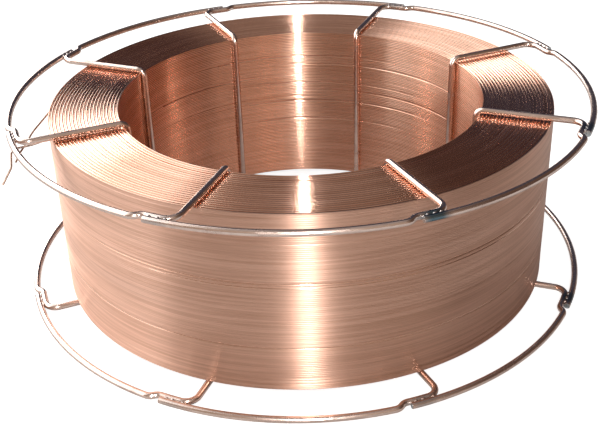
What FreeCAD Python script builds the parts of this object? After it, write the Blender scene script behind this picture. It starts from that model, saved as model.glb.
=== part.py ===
import FreeCAD, Part
import Sketcher
import math
import os

# A wire basket spool wound with welding wire, standing on one end.
# Millimetres. The origin is on the spool's axis, in the plane that its lower rim stands on.
# +Z is up, along the axis.

driving_sizes = [
    ("rim_diameter", 300.0, "outside diameter of both rims"),
    ("spool_width", 98.4, "over the outsides of both rims"),
    ("hub_bore", 182.0, "clear circle inside the basket's legs"),
    ("basket_wire", 3.2, "diameter of the basket's wire"),
    ("spoke_1", 24.0, "degrees from +X to each wire's spokes, which are not quite evenly spaced"),
    ("spoke_2", 68.2, ""),
    ("spoke_3", 114.0, ""),
    ("spoke_4", 157.7, ""),
    ("spoke_5", 202.6, ""),
    ("spoke_6", 248.8, ""),
    ("spoke_7", 294.1, ""),
    ("spoke_8", 339.4, ""),
    ("corner_bend", 4.0, "centreline radius from spoke to leg"),
    ("rim_bend", 6.0, "centreline radius from rim to spoke"),
    ("joggle_bend", 4.8, "centreline radius of both bends of the joggle"),
    ("upper_lap", 13.3, "from an upper cut end along the rim to the spoke it is welded beside"),
    ("lower_lap", 16.0, "from a lower cut end along the rim to the spoke it is welded beside"),
    ("joggle_gap", 0.8, "from a cut end back to the joggle that makes room for it"),
    ("weld_sink", 0.2, "how far two basket wires are pressed into each other at a weld"),
    ("welding_wire", 1.0, "diameter of the wound wire"),
    ("rim_margin", 16.5, "least depth left from inside the rims to the outer turns"),
    ("end_play", 0.1, "between the upper end turns and the upper spokes"),
    ("edge_gap", 0.1, "between the coil's inner edges and the basket's corner bends"),
    ("lay_gap", 0.05, "between a loose end and what it lies against"),
    ("kink_bend", 1.8, "centreline radius of a sharp kink in a loose end"),
]

document = FreeCAD.newDocument("welding_wire_spool")
sheet = document.addObject("Spreadsheet::Sheet", "sizes")
for row, (alias, value, meaning) in enumerate(driving_sizes, start=1):
    sheet.set(f"A{row}", meaning)
    sheet.set(f"B{row}", str(value))
    sheet.setAlias(f"B{row}", alias)
document.recompute()
size = {alias: float(sheet.get(alias)) for alias, value, meaning in driving_sizes}

# Lengths worked out from the driving sizes.
wire_radius = size["basket_wire"] / 2
rim_radius = size["rim_diameter"] / 2 - wire_radius
joggled_radius = rim_radius - size["basket_wire"] + size["weld_sink"]
leg_radius = size["hub_bore"] / 2 + wire_radius
upper_rim_z = size["spool_width"] - wire_radius
lower_rim_z = wire_radius
spoke_angles = [size[alias] for alias, value, meaning in driving_sizes if alias.startswith("spoke_")]

# Turns are packed like stacked logs, so layers are closer than a wire's diameter.
layer_pitch = size["welding_wire"] * math.sqrt(3) / 2
coil_inner_radius = size["hub_bore"] / 2 + size["basket_wire"]
winding_depth = size["rim_diameter"] / 2 - size["basket_wire"] - size["rim_margin"] - coil_inner_radius
layer_count = math.floor((winding_depth - size["welding_wire"]) / layer_pitch) + 1
coil_outer_radius = coil_inner_radius + size["welding_wire"] + (layer_count - 1) * layer_pitch
coil_bottom_z = size["basket_wire"]
coil_top_z = size["spool_width"] - size["basket_wire"] - size["end_play"]

# The same lengths as expressions, for the features that follow the sheet.
inner_expression = "sizes.hub_bore / 2 + sizes.basket_wire"
pitch_expression = "(sizes.welding_wire * sqrt(3) / 2)"
depth_expression = f"(sizes.rim_diameter / 2 - sizes.basket_wire - sizes.rim_margin - ({inner_expression}))"
outer_expression = (
    f"{inner_expression} + sizes.welding_wire"
    f" + floor(({depth_expression} - sizes.welding_wire) / {pitch_expression}) * {pitch_expression}"
)


def polar(radius, degrees, z=0.0):
    angle = math.radians(degrees)
    return FreeCAD.Vector(radius * math.cos(angle), radius * math.sin(angle), z)


def arc_about(centre, start, end):
    """The shorter arc about centre from start to end, as an edge."""
    middle = (start - centre) + (end - centre)
    middle.normalize()
    middle = centre + middle * (start - centre).Length
    return Part.Arc(start, middle, end).toShape()


def line(start, end):
    return Part.LineSegment(start, end).toShape()


def origin_plane(body, role):
    return next(feature for feature in body.Origin.OriginFeatures if feature.Role == role)


def add_sketch(body, name):
    sketch = body.newObject("Sketcher::SketchObject", name)
    sketch.AttachmentSupport = [(origin_plane(body, "XZ_Plane"), "")]
    sketch.MapMode = "FlatFace"
    return sketch


def turn_about_axis(body, kind, name, sketch):
    feature = body.newObject(kind, name)
    feature.Profile = sketch
    feature.ReferenceAxis = (sketch, ["V_Axis"])
    feature.Angle = 360.0
    document.recompute()
    return feature


# ---- The coil: one turned ring, with its turns showing as ridges on both ends ----


def coil_section(body):
    """A rectangle from the bore to the outer turns, held to the sheet."""
    sketch = add_sketch(body, "coil_section")
    corners = [
        FreeCAD.Vector(coil_inner_radius, coil_bottom_z, 0),
        FreeCAD.Vector(coil_outer_radius, coil_bottom_z, 0),
        FreeCAD.Vector(coil_outer_radius, coil_top_z, 0),
        FreeCAD.Vector(coil_inner_radius, coil_top_z, 0),
    ]
    for side in range(4):
        sketch.addGeometry(Part.LineSegment(corners[side], corners[(side + 1) % 4]), False)
    for side in range(4):
        sketch.addConstraint(Sketcher.Constraint("Coincident", side, 2, (side + 1) % 4, 1))
        level = "Horizontal" if side % 2 == 0 else "Vertical"
        sketch.addConstraint(Sketcher.Constraint(level, side))
    placed = [
        ("inner_radius", "DistanceX", 0, 1, coil_inner_radius, inner_expression),
        ("outer_radius", "DistanceX", 0, 2, coil_outer_radius, outer_expression),
        ("bottom", "DistanceY", 0, 1, coil_bottom_z, "sizes.basket_wire"),
        ("top", "DistanceY", 2, 2, coil_top_z, "sizes.spool_width - sizes.basket_wire - sizes.end_play"),
    ]
    for name, kind, edge, point, value, expression in placed:
        number = sketch.addConstraint(Sketcher.Constraint(kind, -1, 1, edge, point, value))
        sketch.renameConstraint(number, name)
        sketch.setExpression(f"Constraints.{name}", expression)
    return sketch


def end_turns_section(body, name, end_z, outward):
    """What is cut off one end, down to the tops of its turns.

    Every second layer ends half a turn lower, so its turns lie in the valleys between the others.
    Each turn is drawn six-sided, as it fills its share of the packing, with one side outermost.
    """
    sketch = add_sketch(body, name)
    diameter = size["welding_wire"]
    half_side = diameter / (2 * math.sqrt(3))
    clear = 2 * diameter
    first_x = coil_inner_radius - clear
    last_x = coil_outer_radius + clear
    outline = []
    for layer in range(layer_count):
        turn_x = coil_inner_radius + diameter / 2 + layer * layer_pitch
        top_z = end_z if layer % 2 == 0 else end_z - outward * diameter / 2
        left_x = turn_x - half_side if layer > 0 else first_x
        outline.append((left_x, top_z))
        outline.append((turn_x + half_side, top_z))
    shoulder_z = outline[-1][1] - outward * (diameter / 2 - half_side) * math.sqrt(3)
    beyond_z = end_z + outward * clear
    outline.append((coil_outer_radius, shoulder_z))
    outline.append((last_x, shoulder_z))
    outline.append((last_x, beyond_z))
    outline.append((first_x, beyond_z))
    corners = [FreeCAD.Vector(x, z, 0) for x, z in outline]
    for here, there in zip(corners, corners[1:] + corners[:1]):
        sketch.addGeometry(Part.LineSegment(here, there), False)
    return sketch


def make_coil():
    body = document.addObject("PartDesign::Body", "wire_coil")
    turned = turn_about_axis(body, "PartDesign::Revolution", "turned_coil", coil_section(body))
    inner_edges = [
        f"Edge{number}"
        for number, edge in enumerate(turned.Shape.Edges, start=1)
        if isinstance(edge.Curve, Part.Circle) and abs(edge.Curve.Radius - coil_inner_radius) < 1e-6
    ]
    # The inner edges are rounded to lie inside the basket's corner bends.
    rounding = body.newObject("PartDesign::Fillet", "rounded_inner_edges")
    rounding.Base = (turned, inner_edges)
    rounding.setExpression("Radius", "sizes.corner_bend - sizes.basket_wire / 2 + sizes.edge_gap")
    document.recompute()
    volume = rounding.Shape.Volume
    for name, end_z, outward in [("upper", coil_top_z, 1), ("lower", coil_bottom_z, -1)]:
        section = end_turns_section(body, f"{name}_end_turns", end_z, outward)
        cut = turn_about_axis(body, "PartDesign::Groove", f"{name}_end", section)
        if cut.Shape.Volume >= volume:
            raise ValueError(f"the {name} end's turns were not cut")
        volume = cut.Shape.Volume
    body.Label = "wire_coil"
    return body


# ---- The basket: like bent wires, each welded beside the next one's spokes ----


def rim_and_spoke(rim_z, inward, turn_back, lap_length):
    """Edges from a cut end round the rim, through the joggle, and down the spoke to the leg.

    The wire's own spoke lies along +X, and the spoke before it is turn_back degrees clockwise.
    inward is the way along Z to the basket's middle.
    """
    level = FreeCAD.Vector(0, 0, rim_z)
    lap = math.degrees(lap_length / rim_radius)
    cut_end = -(turn_back + lap)
    joggle_end = -(lap + math.degrees(size["joggle_gap"] / rim_radius))

    # The joggle is two like arcs, one tangent to each of the two circles it joins.
    bend = size["joggle_bend"]
    first_reach = rim_radius - bend
    second_reach = joggled_radius + bend
    spread = (first_reach**2 + second_reach**2 - (2 * bend) ** 2) / (2 * first_reach * second_reach)
    joggle_start = joggle_end - math.degrees(math.acos(spread))
    first_centre = polar(first_reach, joggle_start) + level
    second_centre = polar(second_reach, joggle_end) + level
    between = (first_centre + second_centre) / 2

    rim_bend = size["rim_bend"]
    bend_angle = -math.degrees(math.asin(rim_bend / (joggled_radius - rim_bend)))
    bend_centre = polar(joggled_radius - rim_bend, bend_angle) + level
    if bend_angle <= joggle_end:
        raise ValueError("the joggle runs into the rim bend")

    corner = size["corner_bend"]
    corner_centre = FreeCAD.Vector(leg_radius + corner, 0, rim_z + inward * corner)
    spoke_start = FreeCAD.Vector(bend_centre.x, 0, rim_z)
    spoke_end = FreeCAD.Vector(leg_radius + corner, 0, rim_z)
    leg_end = FreeCAD.Vector(leg_radius, 0, rim_z + inward * corner)

    rim_points = [polar(rim_radius, a) + level for a in (cut_end, (cut_end + joggle_start) / 2, joggle_start)]
    lap_angles = (joggle_end, (joggle_end + bend_angle) / 2, bend_angle)
    lap_points = [polar(joggled_radius, a) + level for a in lap_angles]
    edges = [
        Part.Arc(*rim_points).toShape(),
        arc_about(first_centre, rim_points[-1], between),
        arc_about(second_centre, between, lap_points[0]),
        Part.Arc(*lap_points).toShape(),
        arc_about(bend_centre, lap_points[-1], spoke_start),
        line(spoke_start, spoke_end),
        arc_about(corner_centre, spoke_end, leg_end),
    ]
    return edges, leg_end


def basket_wire_path(turn_back):
    upper, upper_leg_end = rim_and_spoke(upper_rim_z, -1, turn_back, size["upper_lap"])
    lower, lower_leg_end = rim_and_spoke(lower_rim_z, 1, turn_back, size["lower_lap"])
    leg = line(upper_leg_end, lower_leg_end)
    return Part.Wire(Part.__sortEdges__(upper + [leg] + lower))


def add_path(name, wire):
    path = document.addObject("Part::Feature", name)
    path.Shape = wire
    return path


def add_round_section(name, wire, diameter_alias):
    """A circle square to the start of a path, as wide as the sheet says."""
    section = document.addObject("Part::Circle", name)
    section.setExpression("Radius", f"sizes.{diameter_alias} / 2")
    first = wire.OrderedEdges[0]
    start = wire.OrderedVertexes[0].Point
    at_start = (first.valueAt(first.FirstParameter) - start).Length < 1e-6
    parameter = first.FirstParameter if at_start else first.LastParameter
    direction = first.tangentAt(parameter)
    section.Placement = FreeCAD.Placement(start, FreeCAD.Rotation(FreeCAD.Vector(0, 0, 1), direction))
    return section


def add_sweep(name, path, section):
    sweep = document.addObject("Part::Sweep", name)
    sweep.Sections = [section]
    sweep.Spine = (path, [f"Edge{number}" for number in range(1, len(path.Shape.Edges) + 1)])
    sweep.Solid = True
    sweep.Label = name
    return sweep


def make_basket():
    basket = []
    for number, angle in enumerate(spoke_angles, start=1):
        turn_back = (angle - spoke_angles[number - 2]) % 360
        wire = basket_wire_path(turn_back)
        path = add_path(f"basket_wire_{number}_path", wire)
        section = add_round_section(f"basket_wire_{number}_section", wire, "basket_wire")
        bent = add_sweep(f"basket_wire_{number}", path, section)
        bent.Placement = FreeCAD.Placement(FreeCAD.Vector(), FreeCAD.Vector(0, 0, 1), 1.0)
        bent.setExpression("Placement.Rotation.Angle", f"sizes.spoke_{number}")
        basket.append(bent)
    return basket


# ---- The welding wire's two loose ends, each a stiff bent wire cut off where it leaves the coil ----


def bent_path(points, sharp_bends):
    """Straight runs joined by tangent arcs, gentle except at the numbered sharp bends."""
    edges = []
    start = points[0]
    for number in range(1, len(points) - 1):
        corner = points[number]
        back = points[number - 1] - corner
        ahead = points[number + 1] - corner
        half_turn = (math.pi - back.getAngle(ahead)) / 2
        reach = 0.45 * min(back.Length, ahead.Length)
        if number in sharp_bends:
            reach = min(reach, size["kink_bend"] * math.tan(half_turn))
        back.normalize()
        ahead.normalize()
        arc_start = corner + back * reach
        arc_end = corner + ahead * reach
        centre_way = back + ahead
        centre_way.normalize()
        centre = corner + centre_way * (reach / math.sin(half_turn))
        edges.append(line(start, arc_start))
        edges.append(arc_about(centre, arc_start, arc_end))
        start = arc_end
    edges.append(line(start, points[-1]))
    return Part.Wire(edges)


def make_loose_end(name, points, sharp_bends, coil):
    wire = bent_path(points, sharp_bends)
    path = add_path(f"{name}_path", wire)
    section = add_round_section(f"{name}_section", wire, "welding_wire")
    sweep = add_sweep(f"{name}_whole", path, section)
    loose = document.addObject("Part::Cut", name)
    loose.Base = sweep
    loose.Tool = coil.getObject("rounded_inner_edges")
    loose.Label = name
    return loose


def finish_end_points():
    """From inside the outer turns, under the rim beside the fifth spoke: radius, degrees, depth."""
    under_rim = rim_radius - wire_radius
    spoke = size["spoke_5"]
    route = [
        (coil_outer_radius - 1.0, spoke - 20.1, 2.0),
        (coil_outer_radius + 0.5, spoke - 17.1, 2.0),
        (coil_outer_radius + 7.8, spoke - 7.5, 1.9),
        (under_rim - 5.3, spoke - 4.2, 3.9),
        (under_rim - 0.8, spoke - 1.0, 4.9),
        (under_rim + 1.8, spoke + 1.3, 5.9),
    ]
    return [polar(radius, angle, coil_top_z - depth) for radius, angle, depth in route]


def start_end_points():
    """Up from the inner turns, along the fifth spoke, and out under the rim: along, beside, depth."""
    beside = wire_radius + size["welding_wire"] / 2 + size["lay_gap"]
    above = -(size["welding_wire"] / 2 + size["lay_gap"])
    under_rim = rim_radius - wire_radius
    route = [
        (coil_inner_radius + 1.4, beside, 3.5),
        (coil_inner_radius + 1.8, beside, above),
        (coil_inner_radius + 18.0, beside + 0.2, above),
        (coil_outer_radius - 0.8, beside, above),
        (under_rim - 7.8, beside + 1.0, 1.8),
        (under_rim - 0.3, beside + 3.4, 3.0),
        (under_rim + 2.5, beside + 1.5, 4.0),
        (under_rim + 4.3, beside - 6.0, 8.0),
        (under_rim + 9.9, beside - 8.4, 15.0),
    ]
    outward = polar(1.0, size["spoke_5"])
    clockwise = polar(1.0, size["spoke_5"] - 90.0)
    up = FreeCAD.Vector(0, 0, 1)
    return [outward * along + clockwise * side + up * (coil_top_z - depth) for along, side, depth in route]


coil = make_coil()
basket = make_basket()
finish_end = make_loose_end("wire_finish_end", finish_end_points(), (), coil)
start_end = make_loose_end("wire_start_end", start_end_points(), (1, 5, 6, 7), coil)
document.recompute()

for item in document.Objects:
    if "Invalid" in item.State or "Error" in item.State:
        raise ValueError(f"{item.Label} failed: {item.State}")

os.makedirs("parts", exist_ok=True)
for piece in [coil] + basket + [finish_end, start_end]:
    shape = piece.Shape
    if shape.isNull() or not shape.isValid() or len(shape.Solids) != 1:
        raise ValueError(f"{piece.Label} is not one valid solid")
    print(f"{piece.Label}: {shape.Volume:.1f} mm3")
for piece in [coil] + basket + [finish_end, start_end]:
    piece.Shape.exportStep(f"parts/{piece.Label}.step")
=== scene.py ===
import math
import bmesh
import bpy
from mathutils import Matrix, Vector, noise


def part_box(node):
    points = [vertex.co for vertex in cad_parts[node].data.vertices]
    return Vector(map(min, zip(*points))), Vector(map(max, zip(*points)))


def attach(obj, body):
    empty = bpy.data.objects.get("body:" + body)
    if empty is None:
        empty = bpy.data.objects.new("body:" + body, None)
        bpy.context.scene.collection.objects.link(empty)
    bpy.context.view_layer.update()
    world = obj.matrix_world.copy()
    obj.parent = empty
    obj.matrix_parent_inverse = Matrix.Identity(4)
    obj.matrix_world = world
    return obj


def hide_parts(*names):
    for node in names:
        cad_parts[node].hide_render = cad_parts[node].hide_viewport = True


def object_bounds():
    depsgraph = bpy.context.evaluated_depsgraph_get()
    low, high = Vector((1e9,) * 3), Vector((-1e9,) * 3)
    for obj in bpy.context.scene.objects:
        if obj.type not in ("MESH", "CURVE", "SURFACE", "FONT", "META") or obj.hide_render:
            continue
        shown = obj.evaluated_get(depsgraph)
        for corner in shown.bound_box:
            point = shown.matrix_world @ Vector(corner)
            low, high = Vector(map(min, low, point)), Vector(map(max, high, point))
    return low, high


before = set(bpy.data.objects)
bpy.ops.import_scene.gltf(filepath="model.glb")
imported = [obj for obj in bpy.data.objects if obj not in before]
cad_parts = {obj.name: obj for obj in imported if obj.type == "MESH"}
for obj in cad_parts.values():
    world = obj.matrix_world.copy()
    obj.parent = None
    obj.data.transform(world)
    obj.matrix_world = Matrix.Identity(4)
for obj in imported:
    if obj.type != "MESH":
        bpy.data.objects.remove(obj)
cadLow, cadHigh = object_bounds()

mm = 0.001
scene = bpy.context.scene
scene.view_settings.view_transform = "Standard"
print("frame loaded:", len(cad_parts), "nodes")

# The spool's own sizes, given here or read from the imported pieces.
coilLow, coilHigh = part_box("wire_coil")
basketNames = sorted(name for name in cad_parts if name.startswith("basket_wire_"))
spool = {
    "rimOuter": 150.0 * mm,
    "basketWire": 3.2 * mm,
    "turnWire": 1.0 * mm,
    "coilInner": 94.2 * mm,
    "coilOuter": coilHigh.x,
    "coilTop": coilHigh.z,
    "coilBottom": coilLow.z,
    "middle": (cadLow.z + cadHigh.z) / 2,
    "spokes": [24.0, 68.2, 114.0, 157.7, 202.6, 248.8, 294.1, 339.4],  # degrees from +X
    "upperLap": 13.3 * mm,  # from a cut end to the spoke it is welded beside
    "lowerLap": 16.0 * mm,
    "rimRadius": 148.4 * mm,
    "joggledRadius": 145.4 * mm,
}


def addPiece(name, mesh, material):
    piece = bpy.data.objects.new(name, mesh)
    scene.collection.objects.link(piece)
    mesh.materials.append(material)
    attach(piece, "root")
    return piece


def finishMesh(bm, name, smooth=True):
    mesh = bpy.data.meshes.new(name)
    bm.to_mesh(mesh)
    bm.free()
    for face in mesh.polygons:
        face.use_smooth = smooth
    return mesh


def addNode(tree, kind, inputs=None, **settings):
    node = tree.nodes.new(kind)
    for key, value in settings.items():
        setattr(node, key, value)
    for key, value in (inputs or {}).items():
        if isinstance(value, bpy.types.NodeSocket):
            tree.links.new(value, node.inputs[key])
        else:
            node.inputs[key].default_value = value
    return node


def mathNode(tree, operation, first, second=0.0):
    node = addNode(tree, "ShaderNodeMath", {0: first, 1: second}, operation=operation)
    return node.outputs[0]


# The distance from the axis of a place given by its x and y.
def flatLength(tree, x, y):
    squares = [mathNode(tree, "MULTIPLY", side, side) for side in (x, y)]
    return mathNode(tree, "SQRT", mathNode(tree, "ADD", *squares))


def mixColour(tree, factor, first, second, blend="MIX"):
    node = tree.nodes.new("ShaderNodeMix")
    node.data_type = "RGBA"
    node.blend_type = blend
    for key, value in ((0, factor), (6, first), (7, second)):
        if isinstance(value, bpy.types.NodeSocket):
            tree.links.new(value, node.inputs[key])
        else:
            node.inputs[key].default_value = value
    return node.outputs[2]


def mapRange(tree, value, low, high, outLow=0.0, outHigh=1.0, smooth=False):
    kind = "SMOOTHSTEP" if smooth else "LINEAR"
    given = {0: value, 1: low, 2: high, 3: outLow, 4: outHigh}
    node = addNode(tree, "ShaderNodeMapRange", given, interpolation_type=kind)
    return node.outputs[0]


view = {
    "distance": 562.4 * mm,
    "height": 26.79,  # degrees above the middle of the spool
    "yaw": -0.24,
    "pitch": 29.12,
    "roll": -1.86,
    "focal": 61.97,
}


def addCamera():
    data = bpy.data.cameras.new("studioCamera")
    data.sensor_width = 36.0
    data.lens = view["focal"]
    data.clip_start = 0.01
    data.clip_end = 20.0
    camera = bpy.data.objects.new("studioCamera", data)
    scene.collection.objects.link(camera)
    yaw, pitch, roll = (math.radians(view[key]) for key in ("yaw", "pitch", "roll"))
    level = math.cos(pitch)
    ahead = Vector((math.sin(yaw) * level, math.cos(yaw) * level, -math.sin(pitch)))
    right = Vector((math.cos(yaw), -math.sin(yaw), 0.0))
    up = right.cross(ahead)
    leanRight = right * math.cos(roll) + up * math.sin(roll)
    leanUp = up * math.cos(roll) - right * math.sin(roll)
    turn = Matrix((leanRight, leanUp, -ahead)).transposed()
    height = math.radians(view["height"])
    away = Vector((0.0, -math.cos(height), math.sin(height))) * view["distance"]
    camera.matrix_world = Matrix.Translation(away + Vector((0, 0, spool["middle"]))) @ turn.to_4x4()
    scene.camera = camera


addCamera()
print("camera placed")


studio = {
    "floorSize": 6.0,
    "floorColour": (0.52, 0.52, 0.52, 1.0),
    "frontAir": (0.36, 0.28, 0.22, 1.0),
    "rightAir": (0.10, 0.062, 0.045, 1.0),
    "backAir": (0.05, 0.048, 0.065, 1.0),
    "leftAir": (2.10, 2.05, 1.98, 1.0),
    "overAir": (0.34, 0.30, 0.28, 1.0),
    "cameraGlow": 0.85,
    "mirrorGlow": 0.06,
    # Where each part of the room's air lies: degrees from +X, then how its edge fades in.
    "rightWay": (15, 0.50, 0.85),
    "backWay": (76, 0.76, 0.88),
    "leftWay": (159, 0.60, 0.70),
    "overHeight": (0.80, 0.96),
    "lamps": [
        # name, place, width, height, watts, colour
        ("keyStrip", (0.02, -1.9, 1.0), 0.085, 2.0, 24.0, (1.0, 0.98, 0.96)),
        ("leftPanel", (-0.95, 1.25, 0.75), 0.9, 0.9, 9.0, (1.0, 0.99, 0.97)),
    ],
}


def addFloor():
    bm = bmesh.new()
    bmesh.ops.create_grid(bm, x_segments=1, y_segments=1, size=studio["floorSize"] / 2)
    mesh = finishMesh(bm, "studioFloor", smooth=False)
    floor = bpy.data.objects.new("studioFloor", mesh)
    scene.collection.objects.link(floor)
    material = bpy.data.materials.new("studioFloor")
    material.use_nodes = True
    tree = material.node_tree
    tree.nodes.clear()
    path = addNode(tree, "ShaderNodeLightPath")
    mirrored = mathNode(tree, "MAXIMUM", path.outputs["Is Glossy Ray"], path.outputs["Is Transmission Ray"])
    lit = addNode(tree, "ShaderNodeBsdfDiffuse", {"Color": studio["floorColour"]})
    glows = [
        addNode(tree, "ShaderNodeEmission", {"Color": (1, 1, 1, 1), "Strength": studio[strength]})
        for strength in ("cameraGlow", "mirrorGlow")
    ]
    bright = addNode(tree, "ShaderNodeAddShader", {0: lit.outputs[0], 1: glows[0].outputs[0]})
    faint = addNode(tree, "ShaderNodeAddShader", {0: lit.outputs[0], 1: glows[1].outputs[0]})
    inMetal = addNode(tree, "ShaderNodeMixShader", {0: mirrored, 1: lit.outputs[0], 2: faint.outputs[0]})
    mixed = addNode(
        tree, "ShaderNodeMixShader",
        {0: path.outputs["Is Camera Ray"], 1: inMetal.outputs[0], 2: bright.outputs[0]},
    )
    addNode(tree, "ShaderNodeOutputMaterial", {"Surface": mixed.outputs[0]})
    mesh.materials.append(material)


def addRoomLight():
    world = bpy.data.worlds.new("studioRoom")
    scene.world = world
    world.use_nodes = True
    tree = world.node_tree
    tree.nodes.clear()
    ways = addNode(tree, "ShaderNodeTexCoord").outputs["Generated"]
    split = addNode(tree, "ShaderNodeSeparateXYZ", {0: ways})
    x, y, z = split.outputs
    # Pale on the left, brown in front and on the right, near black behind.
    flat = mathNode(tree, "MAXIMUM", flatLength(tree, x, y), 0.001)

    def facing(angle, low, high):
        alongX = mathNode(tree, "MULTIPLY", x, math.cos(math.radians(angle)))
        alongY = mathNode(tree, "MULTIPLY", y, math.sin(math.radians(angle)))
        along = mathNode(tree, "DIVIDE", mathNode(tree, "ADD", alongX, alongY), flat)
        return mapRange(tree, along, low, high, smooth=True)

    colour = mixColour(tree, facing(*studio["rightWay"]), studio["frontAir"], studio["rightAir"])
    colour = mixColour(tree, facing(*studio["backWay"]), colour, studio["backAir"])
    colour = mixColour(tree, facing(*studio["leftWay"]), colour, studio["leftAir"])
    overhead = mapRange(tree, z, *studio["overHeight"], smooth=True)
    colour = mixColour(tree, overhead, colour, studio["overAir"])
    room = addNode(tree, "ShaderNodeBackground", {"Color": colour, "Strength": 1.0})
    white = addNode(tree, "ShaderNodeBackground", {"Color": (1, 1, 1, 1), "Strength": 1.0})
    path = addNode(tree, "ShaderNodeLightPath")
    mixed = addNode(
        tree, "ShaderNodeMixShader",
        {0: path.outputs["Is Camera Ray"], 1: room.outputs[0], 2: white.outputs[0]},
    )
    addNode(tree, "ShaderNodeOutputWorld", {"Surface": mixed.outputs[0]})


def addLamps():
    for name, place, width, height, watts, colour in studio["lamps"]:
        data = bpy.data.lights.new(name, "AREA")
        data.shape = "RECTANGLE"
        data.size = width
        data.size_y = height
        data.energy = watts
        data.color = colour
        lamp = bpy.data.objects.new(name, data)
        scene.collection.objects.link(lamp)
        lamp.location = place
        lamp.rotation_euler = (Vector((0, 0, 0.05)) - Vector(place)).to_track_quat("-Z", "Y").to_euler()
        lamp.visible_camera = False


addFloor()
addRoomLight()
addLamps()
print("studio lit")


def newGroup(name, inputs, outputs):
    group = bpy.data.node_groups.new(name, "ShaderNodeTree")
    for title, kind, value in inputs:
        socket = group.interface.new_socket(title, in_out="INPUT", socket_type=kind)
        socket.default_value = value
    for title, kind in outputs:
        group.interface.new_socket(title, in_out="OUTPUT", socket_type=kind)
    return group, group.nodes.new("NodeGroupInput"), group.nodes.new("NodeGroupOutput")


def turnStreaks():
    group, given, result = newGroup(
        "turnStreaks",
        [("Round Scale", "NodeSocketFloat", 2.0), ("Across Scale", "NodeSocketFloat", 900.0)],
        [("Streak", "NodeSocketFloat"), ("Broad", "NodeSocketFloat")],
    )
    place = addNode(group, "ShaderNodeTexCoord").outputs["Object"]
    split = addNode(group, "ShaderNodeSeparateXYZ", {0: place})
    x, y, z = split.outputs
    radius = flatLength(group, x, y)
    wayX = mathNode(group, "MULTIPLY", mathNode(group, "DIVIDE", x, radius), given.outputs["Round Scale"])
    wayY = mathNode(group, "MULTIPLY", mathNode(group, "DIVIDE", y, radius), given.outputs["Round Scale"])
    across = mathNode(group, "MULTIPLY", mathNode(group, "ADD", z, radius), given.outputs["Across Scale"])
    spot = addNode(group, "ShaderNodeCombineXYZ", {0: wayX, 1: wayY, 2: across})
    fine = addNode(group, "ShaderNodeTexNoise", {"Vector": spot.outputs[0], "Scale": 1.0, "Detail": 2.0})
    wide = addNode(group, "ShaderNodeMapping", {"Vector": spot.outputs[0], "Scale": (1.0, 1.0, 0.08)})
    broad = addNode(group, "ShaderNodeTexNoise", {"Vector": wide.outputs[0], "Scale": 1.0, "Detail": 2.0})
    group.links.new(fine.outputs[0], result.inputs["Streak"])
    group.links.new(broad.outputs[0], result.inputs["Broad"])
    return group


streakGroup = turnStreaks()


def metalMaterial(name, colour, roughness):
    material = bpy.data.materials.new(name)
    material.use_nodes = True
    tree = material.node_tree
    shader = tree.nodes["Principled BSDF"]
    shader.inputs["Metallic"].default_value = 1.0
    shader.inputs["Base Color"].default_value = colour
    shader.inputs["Roughness"].default_value = roughness
    return material, tree, shader


windingFinish = {
    "copper": (0.90, 0.585, 0.46, 1.0),
    "dull": (0.74, 0.45, 0.335, 1.0),
    # The next two are a more orange copy of the copper for the turns inside the bore: painted light bounced
    # between the copper turns.
    "boreBounceCopper": (0.90, 0.55, 0.405, 1.0),
    "boreBounceDull": (0.80, 0.45, 0.31, 1.0),
    "roughness": (0.07, 0.16),
    "wallRoughness": (0.34, 0.44),
    "wallSheen": 0.97,  # how one-way the walls spread a reflection
    "quarterTurn": 0.25,
}


def windingMaterial(name, copper, dull):
    material, tree, shader = metalMaterial(name, copper, 0.2)
    streaks = addNode(tree, "ShaderNodeGroup", node_tree=streakGroup)
    tone = mapRange(tree, streaks.outputs["Streak"], 0.35, 0.65)
    tree.links.new(mixColour(tree, tone, dull, copper), shader.inputs["Base Color"])
    rough = mapRange(tree, streaks.outputs["Broad"], 0.3, 0.7, *windingFinish["roughness"])
    tree.links.new(rough, shader.inputs["Roughness"])
    return material


# The turns lie round the axis, so a wall of them spreads a reflection up and down only.
def wallMaterial(name, copper, dull):
    material = windingMaterial(name, copper, dull)
    tree = material.node_tree
    shader = tree.nodes["Principled BSDF"]
    shader.inputs["Anisotropic"].default_value = windingFinish["wallSheen"]
    shader.inputs["Anisotropic Rotation"].default_value = windingFinish["quarterTurn"]
    around = addNode(tree, "ShaderNodeTangent", direction_type="RADIAL", axis="Z")
    tree.links.new(around.outputs[0], shader.inputs["Tangent"])
    streaks = next(node for node in tree.nodes if node.type == "GROUP")
    rough = mapRange(tree, streaks.outputs["Broad"], 0.3, 0.7, *windingFinish["wallRoughness"])
    tree.links.new(rough, shader.inputs["Roughness"])
    return material


basketFinish = {
    "copper": (0.93, 0.77, 0.70, 1.0),
    "tarnish": (0.70, 0.54, 0.48, 1.0),
    "heatTint": (0.15, 0.23, 0.28, 1.0),
    "roughness": (0.14, 0.30),
    "upperHeat": [0.15, 0.5, 0.1, 0.1, 0.15, 0.3, 1.0, 0.9],  # how blue each joint is, by spoke
    "lowerHeat": [0.1, 0.1, 0.1, 0.1, 0.15, 0.2, 0.3, 0.9],
}


def weldPlaces():
    places = []
    for level, lap, heats in (
        (cadHigh.z - spool["basketWire"] / 2, spool["upperLap"], basketFinish["upperHeat"]),
        (cadLow.z + spool["basketWire"] / 2, spool["lowerLap"], basketFinish["lowerHeat"]),
    ):
        for number, spoke in enumerate(spool["spokes"]):
            places.append((number, math.radians(spoke), level, lap / spool["rimRadius"], heats[number]))
    return places


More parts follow.
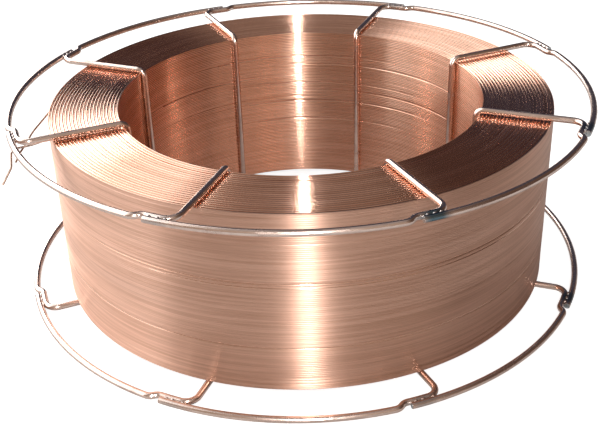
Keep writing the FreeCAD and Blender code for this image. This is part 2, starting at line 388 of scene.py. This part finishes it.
def basketMaterial(number):
    material, tree, shader = metalMaterial(f"coppered_basket_wire_{number + 1}", basketFinish["copper"], 0.25)
    place = addNode(tree, "ShaderNodeTexCoord").outputs["Object"]
    cloud = addNode(tree, "ShaderNodeTexNoise", {"Vector": place, "Scale": 140.0, "Detail": 4.0})
    tone = mapRange(tree, cloud.outputs[0], 0.42, 0.78)
    colour = mixColour(tree, tone, basketFinish["copper"], basketFinish["tarnish"])
    heated = 0.0
    # Each wire is welded beside its own spoke and beside the one before it.
    for joint, angle, level, lap, heat in weldPlaces():
        if joint not in (number, (number - 1) % len(spool["spokes"])):
            continue
        middle = angle - 0.6 * lap
        spot = (spool["rimRadius"] * math.cos(middle), spool["rimRadius"] * math.sin(middle), level)
        away = addNode(tree, "ShaderNodeVectorMath", {0: place, 1: spot}, operation="DISTANCE")
        near = mapRange(tree, away.outputs["Value"], 8.0 * mm, 2.5 * mm, 0.0, heat, smooth=True)
        heated = mathNode(tree, "MAXIMUM", near, heated)
    tree.links.new(mixColour(tree, heated, colour, basketFinish["heatTint"]), shader.inputs["Base Color"])
    rough = mapRange(tree, cloud.outputs[0], 0.3, 0.7, *basketFinish["roughness"])
    tree.links.new(rough, shader.inputs["Roughness"])
    return material


def clouded(name, bright, dark, scale, roughness):
    material, tree, shader = metalMaterial(name, bright, roughness[0])
    place = addNode(tree, "ShaderNodeTexCoord").outputs["Object"]
    cloud = addNode(tree, "ShaderNodeTexNoise", {"Vector": place, "Scale": scale, "Detail": 3.0})
    tone = mapRange(tree, cloud.outputs[0], 0.35, 0.68)
    tree.links.new(mixColour(tree, tone, bright, dark), shader.inputs["Base Color"])
    tree.links.new(mapRange(tree, cloud.outputs[0], 0.3, 0.7, *roughness), shader.inputs["Roughness"])
    return material


turnsMaterial = windingMaterial("coppered_turns", windingFinish["copper"], windingFinish["dull"])
outerWallMaterial = wallMaterial("outer_wall_turns", windingFinish["copper"], windingFinish["dull"])
# The bore's wall gets the more orange copy of the copper, which paints in light bounced inside the bore.
innerWallMaterial = wallMaterial("inner_wall_turns", windingFinish["boreBounceCopper"], windingFinish["boreBounceDull"])
basketMaterials = [basketMaterial(number) for number in range(len(spool["spokes"]))]
smallFinishes = {
    # bright colour, dark colour, cloud scale, roughness
    "dulled_turns": ((0.56, 0.42, 0.35, 1.0), (0.36, 0.26, 0.21, 1.0), 700.0, (0.26, 0.42)),
    "weld_metal": ((0.74, 0.62, 0.57, 1.0), (0.40, 0.40, 0.42, 1.0), 900.0, (0.18, 0.36)),
    "bare_steel": ((0.66, 0.72, 0.76, 1.0), (0.34, 0.40, 0.44, 1.0), 1500.0, (0.22, 0.38)),
}
looseEndMaterial, weldMaterial, cutFaceMaterial = (
    clouded(name, *finish) for name, finish in smallFinishes.items()
)
print("materials made")


winding = {
    "steps": 220,  # round the axis
    "layers": 41,
    "turns": 92,
    "ringDepth": 5,  # layers held by the outer ring, and by the inner one
    "backing": 3.2 * mm,
    "outerTilt": 30.0,  # degrees each turn's face leans at its edges
    "innerTilt": 52.0,
    "seed": 7.3,
    # Gaps between turns: height above the middle, first and last degree, depth.
    "outerGaps": [
        (11.0, 222, 352, 0.42), (9.5, 232, 340, 0.38), (-23.0, 200, 350, 0.30),
        (-39.5, 240, 330, 0.22), (-41.2, 215, 300, 0.20), (-43.0, 250, 345, 0.22),
        (31.0, 255, 300, 0.20), (-9.0, 270, 330, 0.18),
    ],
    "innerGaps": [
        (31.0, 62, 128, 0.45), (26.0, 28, 96, 0.40), (19.0, 96, 158, 0.40), (14.0, 50, 112, 0.40),
        (9.0, 20, 84, 0.35), (5.0, 88, 150, 0.35), (2.0, 40, 120, 0.40), (-10.0, 58, 116, 0.40),
    ],
}
layerPitch = spool["turnWire"] * math.sqrt(3) / 2


def roundTurn(centreR, centreZ, startAngle, endAngle, segments):
    # Points on a turn's own circle, without the last one.
    radius = spool["turnWire"] / 2
    spots = []
    for number in range(segments):
        angle = startAngle + (endAngle - startAngle) * number / segments
        spots.append((centreR + radius * math.cos(angle), centreZ + radius * math.sin(angle)))
    return spots


def endTurns(firstLayer, lastLayer, endZ, outward):
    # The end's outline across some layers, from the bore outwards.
    spots = []
    half = spool["turnWire"] / 2
    for layer in range(firstLayer, lastLayer + 1):
        sunk = half if layer % 2 == 0 else 2 * half
        centreR = spool["coilInner"] + half + layer * layerPitch
        centreZ = endZ - outward * sunk
        reach = math.radians(120 if layer % 2 == 0 else 60)
        start, end = math.pi / 2 + reach, math.pi / 2 - reach
        if outward < 0:
            start, end = -start, -end
        spots += roundTurn(centreR, centreZ, start, end, 6 if layer % 2 == 0 else 3)
    return spots


def wallTurns(crestR, outward):
    # The wall's outline from the bottom turn up to the top one, as shallow swells.
    spots = []
    half = spool["turnWire"] / 2
    tilt = math.radians(winding["outerTilt"] if outward > 0 else winding["innerTilt"])
    bend = half / math.sin(tilt)
    height = spool["coilTop"] - spool["coilBottom"]
    pitch = (height - 2 * half) / (winding["turns"] - 1)
    for turn in range(winding["turns"]):
        centreZ = spool["coilBottom"] + half + turn * pitch
        for part in range(4):
            lean = tilt * (part / 2 - 1)
            spots.append((crestR - outward * bend * (1 - math.cos(lean)), centreZ + bend * math.sin(lean)))
    return spots


def fadeIn(value, low, high):
    share = min(1.0, max(0.0, (value - low) / (high - low)))
    return share * share * (3 - 2 * share)


def roughenWall(bm, outward, gaps):
    # Turns that sit a little low, and the gaps between some of them; nothing moves outwards.
    crest = spool["coilOuter"] if outward > 0 else spool["coilInner"]
    for vert in bm.verts:
        radius = math.hypot(vert.co.x, vert.co.y)
        if abs(radius - crest) > 0.6 * mm:
            continue
        way = Vector((vert.co.x / radius, vert.co.y / radius, 0.0))
        degree = math.degrees(math.atan2(vert.co.y, vert.co.x)) % 360
        level = (vert.co.z - spool["middle"]) / mm
        broad = noise.noise(Vector((way.x * 1.2, way.y * 1.2, level * 0.09 + winding["seed"])))
        fine = noise.noise(Vector((way.x * 2.6, way.y * 2.6, level * 0.8 + 2 * winding["seed"])))
        sunk = 0.09 * (1 + broad) + 0.035 * (1 + fine)
        if outward > 0:
            sunk += 0.12 * fadeIn(level, 43.2, 44.2)
        for height, first, last, depth in gaps:
            nearness = 1 - min(1.0, abs(level - height) / 0.75)
            spread = fadeIn(degree, first - 14, first + 14) * (1 - fadeIn(degree, last - 14, last + 14))
            sunk += depth * nearness * spread
        vert.co -= way * (outward * sunk * mm)


# A closed outline of radius and height, spun once round the axis.
def turnedRing(name, outline, outward=0, gaps=()):
    bm = bmesh.new()
    corners = [bm.verts.new((r, 0.0, z)) for r, z in outline]
    edges = [bm.edges.new((corners[n], corners[(n + 1) % len(corners)])) for n in range(len(corners))]
    bmesh.ops.spin(
        bm, geom=edges, cent=(0, 0, 0), axis=(0, 0, 1), dvec=(0, 0, 0),
        angle=math.tau, steps=winding["steps"], use_merge=True, use_duplicate=False,
    )
    bmesh.ops.remove_doubles(bm, verts=bm.verts, dist=1e-7)
    if outward:
        roughenWall(bm, outward, gaps)
    bmesh.ops.recalc_face_normals(bm, faces=bm.faces)
    return finishMesh(bm, name)


def makeWinding():
    half = spool["turnWire"] / 2
    top, bottom = spool["coilTop"], spool["coilBottom"]
    last = winding["layers"] - 1
    split = winding["ringDepth"]
    innerEdge = spool["coilInner"] + half + (split - 0.5) * layerPitch
    outerEdge = spool["coilInner"] + half + (last - split + 0.5) * layerPitch
    sunk = 0.75 * spool["turnWire"]
    outer = wallTurns(spool["coilOuter"], 1)
    outer += list(reversed(endTurns(last - split + 1, last, top, 1)))
    outer += [(outerEdge, top - sunk), (outerEdge, bottom + sunk)]
    outer += endTurns(last - split + 1, last, bottom, -1)
    inner = list(reversed(wallTurns(spool["coilInner"], -1)))
    inner += endTurns(0, split - 1, bottom, -1)
    inner += [(innerEdge, bottom + sunk), (innerEdge, top - sunk)]
    inner += list(reversed(endTurns(0, split - 1, top, 1)))
    upper = endTurns(split, last - split, top, 1) + [(outerEdge, top - sunk)]
    upper += [(outerEdge, top - winding["backing"]), (innerEdge, top - winding["backing"])]
    lower = endTurns(split, last - split, bottom, -1) + [(outerEdge, bottom + sunk)]
    lower += [(outerEdge, bottom + winding["backing"]), (innerEdge, bottom + winding["backing"])]
    rings = [
        ("outer_turns", outer, 1, winding["outerGaps"]),
        ("inner_turns", inner, -1, winding["innerGaps"]),
        ("upper_end_turns", upper, 0, ()),
        ("lower_end_turns", lower, 0, ()),
    ]
    for name, outline, outward, gaps in rings:
        mesh = turnedRing(name, outline, outward, gaps)
        piece = addPiece(name, mesh, turnsMaterial)
        if outward:
            mesh.materials.append(outerWallMaterial if outward > 0 else innerWallMaterial)
            crest = spool["coilOuter"] if outward > 0 else spool["coilInner"]
            for face in mesh.polygons:
                apart = abs(math.hypot(face.center.x, face.center.y) - crest)
                face.material_index = 1 if apart < 0.75 * mm and abs(face.normal.z) < 0.6 else 0
        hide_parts("wire_coil")
        print(name, len(piece.data.polygons), "faces")


makeWinding()

welds = {
    "across": 8,
    "down": 6,
    "bumps": [(0.30, 0.80), (0.58, 0.90), (0.84, 0.72)],  # share of the lap, radius in mm
    "faceSides": 12,
    "faceRadius": 1.5 * mm,
    "faceDepth": 0.08 * mm,
}


def makeWelds():
    bm = bmesh.new()
    seam = (spool["rimRadius"] + spool["joggledRadius"]) / 2
    for joint, angle, level, lap, heat in weldPlaces():
        for number, (share, radius) in enumerate(welds["bumps"]):
            shift = noise.noise(Vector((joint * 3.1, number * 5.7, level * 90)))
            turn = angle - lap * (share + 0.06 * shift)
            size = radius * (1 + 0.15 * shift) * mm
            for side in (1, -1):
                rise = side * (1.5 * mm - size)
                place = Matrix.Translation((seam * math.cos(turn), seam * math.sin(turn), level + rise))
                stretch = Matrix.Diagonal((1.0, 1.5, 1.0, 1.0))
                bmesh.ops.create_uvsphere(
                    bm, u_segments=welds["across"], v_segments=welds["down"], radius=size,
                    matrix=place @ Matrix.Rotation(turn, 4, "Z") @ stretch,
                )
    addPiece("weld_bumps", finishMesh(bm, "weld_bumps"), weldMaterial)


def makeCutFaces():
    bm = bmesh.new()
    for joint, angle, level, lap, heat in weldPlaces():
        turn = angle - lap
        across, back = spool["rimRadius"] * math.cos(turn), spool["rimRadius"] * math.sin(turn)
        place = Matrix.Translation((across, back, level)) @ Matrix.Rotation(turn, 4, "Z")
        bmesh.ops.create_cone(
            bm, cap_ends=True, segments=welds["faceSides"],
            radius1=welds["faceRadius"], radius2=welds["faceRadius"], depth=welds["faceDepth"],
            matrix=place @ Matrix.Rotation(math.pi / 2, 4, "X"),
        )
    addPiece("cut_faces", finishMesh(bm, "cut_faces", smooth=False), cutFaceMaterial)


makeWelds()
makeCutFaces()
print("welds and cut faces made")

for name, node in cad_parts.items():
    if name == "wire_coil":
        continue
    node.data.materials.clear()
    if name in basketNames:
        node.data.materials.append(basketMaterials[int(name.split("_")[-1]) - 1])
    else:
        node.data.materials.append(looseEndMaterial)
